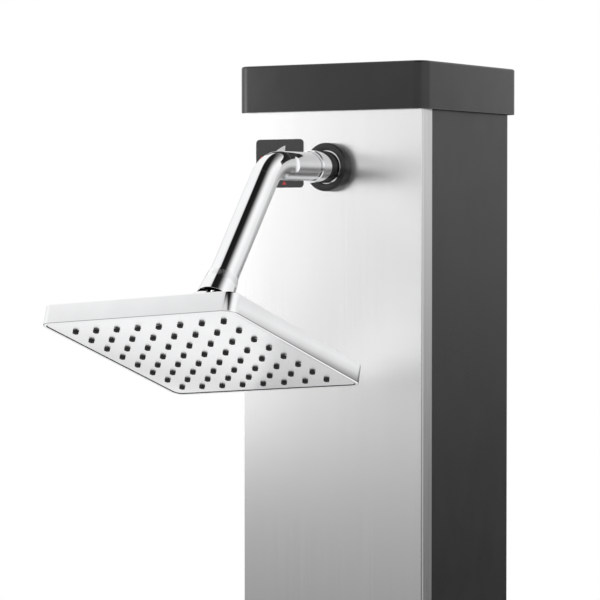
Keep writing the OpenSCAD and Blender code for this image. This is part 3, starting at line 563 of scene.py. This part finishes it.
def nozzle_square(width, corner):
    """Outline of one nozzle or hole, with a point on each diagonal."""
    return rounded_square(width / 2, width / 2, corner, CELL_STEPS)


def cell_edge(outline):
    """Points on the square cell's edge, each straight out from a point of the outline."""
    return [p * (PITCH / 2 / max(abs(p.x), abs(p.y))) for p in outline]


def square_sheet(shape, profile, z_of):
    """A sheet of square cells, each with the outlines of a profile of (width, corner, depth) rows."""
    for i in range(NOZZLES):
        for j in range(NOZZLES):
            middle = Vector((i - (NOZZLES - 1) / 2, j - (NOZZLES - 1) / 2)) * PITCH
            first = nozzle_square(profile[0][0], profile[0][1])
            outer = cell_edge(first)
            loops = []
            for share in (0, 0.35, 0.7, 0.9):
                ring = [a.lerp(b, share) + middle for a, b in zip(outer, first)]
                loops.append([Vector((p.x, p.y, z_of(p.x, p.y))) for p in ring])
            level = z_of(middle.x, middle.y)
            for width, corner, depth in profile:
                ring = [p + middle for p in nozzle_square(width, corner)]
                if depth is None:
                    loops.append([Vector((p.x, p.y, z_of(p.x, p.y))) for p in ring])
                else:
                    loops.append(at_height(ring, level + depth))
            shape.loft(loops)


def on_rounded_outline(p, half, corner):
    """The point of a rounded square's outline that a point of the sharp square belongs to."""
    flat = half - corner
    over_x = abs(p.x) - flat
    over_y = abs(p.y) - flat
    if over_x <= 0 or over_y <= 0:
        return p
    length = math.hypot(over_x, over_y)
    return Vector((
        math.copysign(flat + corner * over_x / length, p.x),
        math.copysign(flat + corner * over_y / length, p.y),
    ))


def edge_strip(z_of, profile, half, corner, bands=4):
    """Loops from the outside of the square field of cells to the sheet's own rounded outline."""
    reach = NOZZLES * PITCH / 2
    edge = cell_edge(nozzle_square(profile[0][0], profile[0][1]))
    offsets = sorted(p.y for p in edge if p.x > PITCH / 2 - 1e-6)
    line = [(k - (NOZZLES - 1) / 2) * PITCH + o for k in range(NOZZLES) for o in offsets]
    field = [Vector((reach, v)) for v in line] + [Vector((-v, reach)) for v in line]
    field += [Vector((-reach, -v)) for v in line] + [Vector((v, -reach)) for v in line]
    loops = []
    for band in range(bands + 1):
        ring = [p.lerp(on_rounded_outline(p * (half / reach), half, corner), band / bands) for p in field]
        loops.append([Vector((q.x, q.y, z_of(q.x, q.y))) for q in ring])
    return loops


def make_faceplate():
    """Pillow-shaped chrome face with a soft-edged square hole for each nozzle."""
    def low(x, y):
        return FACE_EDGE_Z - pillow(x, y)

    fillet = 0.2
    profile = [(HOLE_W + 2 * fillet, 1.3, None)]
    for i in range(1, 4):
        turn = math.radians(30 * i)
        shrink = fillet * math.sin(turn)
        profile.append((HOLE_W + 2 * (fillet - shrink), 1.3 - shrink, fillet * (1 - math.cos(turn))))
    profile.append((HOLE_W, 1.1, FACE_T))
    shape = Shape()
    square_sheet(shape, profile, low)
    strip = edge_strip(low, profile, FACE_HALF, FACE_CORNER)
    last = strip[-1]
    lifted = [Vector((p.x * 1.0005, p.y * 1.0005, p.z + FACE_T)) for p in last]
    shape.loft(strip + [lifted])
    piece = shape.finish("spray_face", "chrome", AT_HEAD, SATIN_CHROME, angle=50)
    return stands_for(piece, "head", "faceplate")


def make_nozzles():
    """Silicone mat whose nozzles stand out of the face, each with a bore, and its lip round the face."""
    def high(x, y):
        return FACE_EDGE_Z + FACE_T + 0.1 - pillow(x, y)

    tip = -FACE_T - 0.1 - NOZZLE_STAND
    profile = [
        (NOZZLE_W, 1.0, None), (NOZZLE_W, 1.0, tip + 0.35), (NOZZLE_W - 0.2, 0.95, tip + 0.1),
        (NOZZLE_W - 0.55, 0.85, tip), (1.7, 0.8, tip + 0.12), (1.4, 0.65, tip + 0.3), (1.3, 0.6, tip + 1.2),
        (0.01, 0.004, tip + 1.2),
    ]
    shape = Shape()
    square_sheet(shape, profile, high)
    lip_in = FACE_HALF + 0.04
    lip_out = FACE_HALF + FACE_GAP - 0.02
    lip = [(lip_in, LIP_Z + FACE_T), (lip_in, LIP_Z), (lip_out, LIP_Z), (lip_out, LIP_Z + FACE_T)]
    shape.loft([at_height(rounded_square(w, w, FACE_CORNER + w - FACE_HALF), z) for w, z in lip], ring=True)
    piece = shape.finish("nozzle_field", "black_rubber", AT_HEAD, angle=45)
    return stands_for(piece, "head", "nozzle_mat")


make_head_shell()
make_faceplate()
make_nozzles()

# ---------- turned fittings ----------


def turned_piece(name, slot, matrix, body, node, corners, angle=30, steps=4):
    """A fitting turned about Z from rounded corners, in place of its CAD node."""
    shape = Shape()
    shape.turned(rounded_path(corners, closed=True, steps=steps))
    return stands_for(shape.finish(name, slot, matrix, angle=angle), body, node)


turned_piece("rosette_ring", "dark_plastic", AT_WALL, "column", "wall_rosette", [
    (13.8, 0.0), (17.5, 0.0), (17.5, 8.2, 1.0), (12.6, 8.2, 0.4), (12.6, 5.0, 0.3), (13.8, 2.6, 0.2),
])

# These two depart from the CAD to follow the photograph, where the nut's foot is about 5.5 lower. The
# CAD's nut runs from 16.5 to 35.0 above the ball's centre; its collar is flat at 7.5 with a mouth of 10.5.
DOME_R = 16.0
DOME_MOUTH_R = 12.6
NUT_CLEARANCE = 0.45
NUT_FOOT_R = 12.6
NUT_WAIST_Z = 22.6
NUT_TOP = 30.0
TUBE_R = 10.2
NECK_BORE_R = 7.6
NECK_BORE_FOOT_Z = 24.0
RING_COUNT = 4
RING_PITCH = 1.3
RING_FOOT_Z = 23.4


def on_sphere(radius, r):
    """Height on a sphere round the ball centre at distance r from the axis."""
    return math.sqrt(radius * radius - r * r)


def sphere_run(radius, first, last, count=10):
    """Profile points on that sphere from one distance to another."""
    return [(first + (last - first) * i / count, on_sphere(radius, first + (last - first) * i / count))
            for i in range(count + 1)]


def make_union_nut():
    """Nut with a hollow foot and fine rings at its top; inside, it cuts into the stem and the washer."""
    foot_r = NUT_FOOT_R - 0.3
    hollow_r = DOME_R + NUT_CLEARANCE
    corners = sphere_run(hollow_r, NECK_BORE_R, foot_r)
    corners += [(NUT_FOOT_R, on_sphere(hollow_r, foot_r) + 0.1, 0.2), (11.7, NUT_WAIST_Z, 3.0)]
    for i in range(RING_COUNT):
        z = RING_FOOT_Z + i * RING_PITCH
        r = 11.6 - i * 0.16
        corners += [(r, z, 0.15), (r - 0.3, z + 0.15), (r - 0.3, z + 0.5), (r - 0.05, z + 0.65, 0.15)]
    corners += [
        (10.9, NUT_TOP - 0.4, 0.3), (TUBE_R + 0.02, NUT_TOP), (TUBE_R + 0.02, NECK_BORE_FOOT_Z),
        (NECK_BORE_R, NECK_BORE_FOOT_Z),
    ]
    turned_piece("union_nut", "chrome", AT_BALL, "arm", "ball_nut", corners, angle=35)


def make_socket_dome():
    """Chrome ring in the hub, domed round the ball; the CAD's collar has a flat top."""
    lip_r = DOME_MOUTH_R - 0.7
    lip_z = on_sphere(DOME_R, DOME_MOUTH_R) - 0.3
    corners = [
        (HUB_BORE, HUB_SEAT_Z), (HUB_SEAT_R, HUB_SEAT_Z), (HUB_SEAT_R, HUB_TOP), (16.9, HUB_TOP, 0.2),
        (16.9, 1.9, 0.4),
    ]
    corners += sphere_run(DOME_R, 15.85, DOME_MOUTH_R)
    corners += [(lip_r, lip_z, 0.3), (11.7, 5.2), (HUB_BORE, 5.2)]
    turned_piece("socket_dome", "chrome", AT_HEAD, "head", "socket_collar", corners, angle=35)


make_union_nut()
make_socket_dome()

# ---------- label print ----------

LABEL_LIFT = 0.05
LABEL_SINK = 0.02


def flat_print(name, outline, material, centre):
    """A flat printed shape on the label."""
    shape = Shape()
    back = at_height(outline, -LABEL_SINK)
    front = at_height(outline, LABEL_LIFT)
    shape.loft([back, front], cap_first=True, cap_last=True)
    piece = shape.finish(name, "printed_label", Matrix.Translation(centre) @ OUT_OF_PANEL, material)
    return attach(piece, "column")


def water_drop(width, height, lean, count=48):
    """Outline of a drop of water whose tip leans over to one side."""
    points = []
    for i in range(count):
        t = 2 * math.pi * i / count
        rise = (1 + math.cos(t)) / 2
        across = width / 2 * math.sin(t) * math.sqrt(math.sin(t / 2)) + lean * (rise ** 4 - 0.4)
        points.append(Vector((across, height * (rise - 0.5))))
    return list(reversed(points))


def make_label_print():
    """A white drop of water between three small red warmth marks."""
    low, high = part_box("warning_label")
    centre = Vector(((low.x + high.x) / 2, low.y, (low.z + high.z) / 2))
    flat_print("label_drop", water_drop(17, 26, 8), WHITE_PRINT, centre)
    mark = rounded_path([(-2.2, -1.3, 0.3), (2.2, -1.3, 0.3), (0.0, 1.6, 0.3)], closed=True)
    for name, x, z in (("left", -15.6, 4.2), ("low", 4.2, -14.2), ("right", 15.6, 5.0)):
        place = centre + Vector((x, 0, z)) * MM
        flat_print("label_mark_" + name, mark, RED_PRINT, place)


make_label_print()

# ---------- studio ----------

FLOOR_R = 7.0
BEHIND = [
    (-1.0, 0.52), (-0.42, 0.52), (-0.3, 0.3), (-0.14, 0.1), (-0.05, 0.2), (0.01, 0.4), (0.05, 0.44),
    (0.12, 0.4), (0.5, 0.5), (1.0, 0.5),
]
# The dark screen lies between two planes; each is given by its normal.
SCREEN_LEFT = (0.936, -0.3405, 0.089)
SCREEN_RIGHT = (0.629, 0.424, -0.652)
SCREEN_STRENGTH = 0.985
DIMMED = 0.27
SOFTBOX_W = 0.6
SOFTBOX_H = 0.62
SOFTBOX_Y = -0.9
SOFTBOX_EDGE_X = -0.76
SOFTBOX_Z = 2.14
SOFTBOX_RADIANCE = 2.1
HORIZON = [
    (-1.0, 0.95), (-0.6, 0.95), (-0.42, 0.6), (-0.3, 0.2), (-0.2, 0.22), (-0.139, 0.36),
    (-0.07, 0.68), (0.0, 0.9), (0.06, 1.0), (1.0, 1.0),
]


class WorldMaths:
    """Short names for the maths nodes of the world."""

    def __init__(self, tree):
        self.nodes = tree.nodes
        self.links = tree.links

    def feed(self, socket, value):
        if isinstance(value, (int, float)):
            socket.default_value = value
        else:
            self.links.new(value, socket)

    def maths(self, operation, a, b=0.0, c=0.0):
        node = self.nodes.new("ShaderNodeMath")
        node.operation = operation
        self.feed(node.inputs[0], a)
        self.feed(node.inputs[1], b)
        self.feed(node.inputs[2], c)
        return node.outputs["Value"]

    def step(self, value, low, high):
        """Smooth step from 0 at low to 1 at high."""
        node = self.nodes.new("ShaderNodeMapRange")
        node.interpolation_type = "SMOOTHSTEP"
        self.feed(node.inputs["Value"], value)
        node.inputs["From Min"].default_value = low
        node.inputs["From Max"].default_value = high
        return node.outputs["Result"]

    def dot(self, a, b):
        """Dot product with a constant vector."""
        node = self.nodes.new("ShaderNodeVectorMath")
        node.operation = "DOT_PRODUCT"
        self.links.new(a, node.inputs[0])
        node.inputs[1].default_value = b
        return node.outputs["Value"]

    def table(self, value, rows):
        """Value read off a table of (position, level) rows, positions from -1 to 1."""
        ramp = self.nodes.new("ShaderNodeValToRGB")
        self.feed(ramp.inputs["Fac"], self.maths("MULTIPLY_ADD", value, 0.5, 0.5))
        elements = ramp.color_ramp.elements
        while len(elements) > 1:
            elements.remove(elements[-1])
        for i, (position, level) in enumerate(rows):
            element = elements[0] if i == 0 else elements.new((position + 1) / 2)
            element.position = (position + 1) / 2
            element.color = (level, level, level, 1)
        return ramp.outputs["Color"]


def make_world():
    """White studio: a pale room, darker just below the horizon, with one dark screen in front."""
    world = bpy.data.worlds.new("studio")
    bpy.context.scene.world = world
    world.use_nodes = True
    tree = world.node_tree
    m = WorldMaths(tree)
    direction = tree.nodes.new("ShaderNodeTexCoord").outputs["Generated"]
    split = tree.nodes.new("ShaderNodeSeparateXYZ")
    tree.links.new(direction, split.inputs["Vector"])
    x, y, z = split.outputs
    room = m.table(z, HORIZON)
    azimuth = m.maths("MULTIPLY", m.maths("ARCTAN2", x, m.maths("MULTIPLY", y, -1.0)), 180 / math.pi)
    overhead = m.maths("MULTIPLY", m.maths("MAXIMUM", m.maths("ADD", y, 0.3), 0.0), 0.6)
    past_left = m.step(m.maths("ADD", m.dot(direction, SCREEN_LEFT), overhead), -0.02, 0.09)
    past_right = m.step(m.dot(direction, SCREEN_RIGHT), -0.45, 0.2)
    screen = m.maths("MULTIPLY", past_left, m.maths("SUBTRACT", 1.0, past_right))
    straight_ahead = m.step(m.maths("MULTIPLY", y, -1.0), 0.7, 0.84)
    screen = m.maths("MULTIPLY", screen, m.maths("SUBTRACT", 1.0, straight_ahead))
    past_camera = m.step(azimuth, 20.0, 70.0)
    left_side = m.maths("MULTIPLY", m.step(azimuth, -75.0, -25.0), m.maths("SUBTRACT", 1.0, past_camera))
    behind = m.maths("MULTIPLY", m.step(y, 0.1, 0.5), m.maths("SUBTRACT", m.table(z, BEHIND), 0.5))
    gain = m.maths("ADD", 1.0, m.maths("MULTIPLY", behind, 2.0))
    dimmed = m.maths("MULTIPLY", left_side, DIMMED)
    pale = m.maths("MULTIPLY", m.maths("MULTIPLY", room, gain), m.maths("SUBTRACT", 1.0, dimmed))
    blocked = m.maths("MULTIPLY", screen, SCREEN_STRENGTH)
    light = m.maths("MULTIPLY", pale, m.maths("SUBTRACT", 1.0, blocked))
    studio = tree.nodes["Background"]
    tree.links.new(light, studio.inputs["Color"])
    studio.inputs["Strength"].default_value = 1.0
    backdrop = tree.nodes.new("ShaderNodeBackground")
    backdrop.inputs["Color"].default_value = (1, 1, 1, 1)
    ray = tree.nodes.new("ShaderNodeLightPath")
    mix = tree.nodes.new("ShaderNodeMixShader")
    tree.links.new(ray.outputs["Is Camera Ray"], mix.inputs["Fac"])
    tree.links.new(studio.outputs["Background"], mix.inputs[1])
    tree.links.new(backdrop.outputs["Background"], mix.inputs[2])
    tree.links.new(mix.outputs["Shader"], tree.nodes["World Output"].inputs["Surface"])


def make_floor():
    """Plain pale floor that fades into the white room."""
    shape = Shape()
    shape.loft([at_height(circle(r / MM, 96), 0.0) for r in (0.001, 0.5, 1.5, FLOOR_R)])
    mesh = bpy.data.meshes.new("floor")
    shape.bm.to_mesh(mesh)
    shape.bm.free()
    mesh.transform(Matrix.Scale(MM, 4))
    floor = bpy.data.objects.new("floor", mesh)
    bpy.context.scene.collection.objects.link(floor)
    finish = Finish("floor_paint", 0.0, 0.8, grey(0.9), Specular_IOR_Level=0.2)
    m = WorldMaths(finish.material.node_tree)
    split = finish.nodes.new("ShaderNodeSeparateXYZ")
    finish.links.new(finish.place, split.inputs["Vector"])
    radius = m.maths("SQRT", m.maths(
        "ADD", m.maths("POWER", split.outputs["X"], 2.0), m.maths("POWER", split.outputs["Y"], 2.0)))
    white = finish.nodes.new("ShaderNodeEmission")
    white.inputs["Color"].default_value = (1, 1, 1, 1)
    mix = finish.nodes.new("ShaderNodeMixShader")
    finish.links.new(m.step(radius, 0.5, 2.6), mix.inputs["Fac"])
    finish.links.new(finish.bsdf.outputs["BSDF"], mix.inputs[1])
    finish.links.new(white.outputs["Emission"], mix.inputs[2])
    finish.links.new(mix.outputs["Shader"], finish.nodes["Material Output"].inputs["Surface"])
    mesh.materials.append(finish.material)
    floor.visible_glossy = False
    floor.visible_diffuse = False
    floor.visible_shadow = False


def make_softbox():
    """Square soft light at the front left, close to the column; the head's cover does not mirror it."""
    data = bpy.data.lights.new("softbox", "AREA")
    data.shape = "RECTANGLE"
    data.size = SOFTBOX_W
    data.size_y = SOFTBOX_H
    data.energy = SOFTBOX_RADIANCE * math.pi * SOFTBOX_W * SOFTBOX_H
    softbox = bpy.data.objects.new("softbox", data)
    towards = Vector((SOFTBOX_EDGE_X, SOFTBOX_Y, 0)) - Vector((0, panel_low.y, 0))
    across = Vector((-towards.y, towards.x, 0)).normalized()
    centre = Vector((SOFTBOX_EDGE_X, SOFTBOX_Y, SOFTBOX_Z)) - across * SOFTBOX_W / 2
    softbox.location = centre
    softbox.rotation_mode = "QUATERNION"
    softbox.rotation_quaternion = towards.to_track_quat("Z", "Y")
    softbox.visible_camera = False
    bpy.context.scene.collection.objects.link(softbox)
    keeps_off = bpy.data.collections.new("keeps_off_the_head")
    keeps_off.objects.link(bpy.data.objects["head_cover"])
    softbox.light_linking.receiver_collection = keeps_off
    keeps_off.collection_objects[0].light_linking.link_state = "EXCLUDE"


make_world()
make_floor()
make_softbox()

view = bpy.context.scene.view_settings
view.view_transform = "Standard"
view.look = "None"
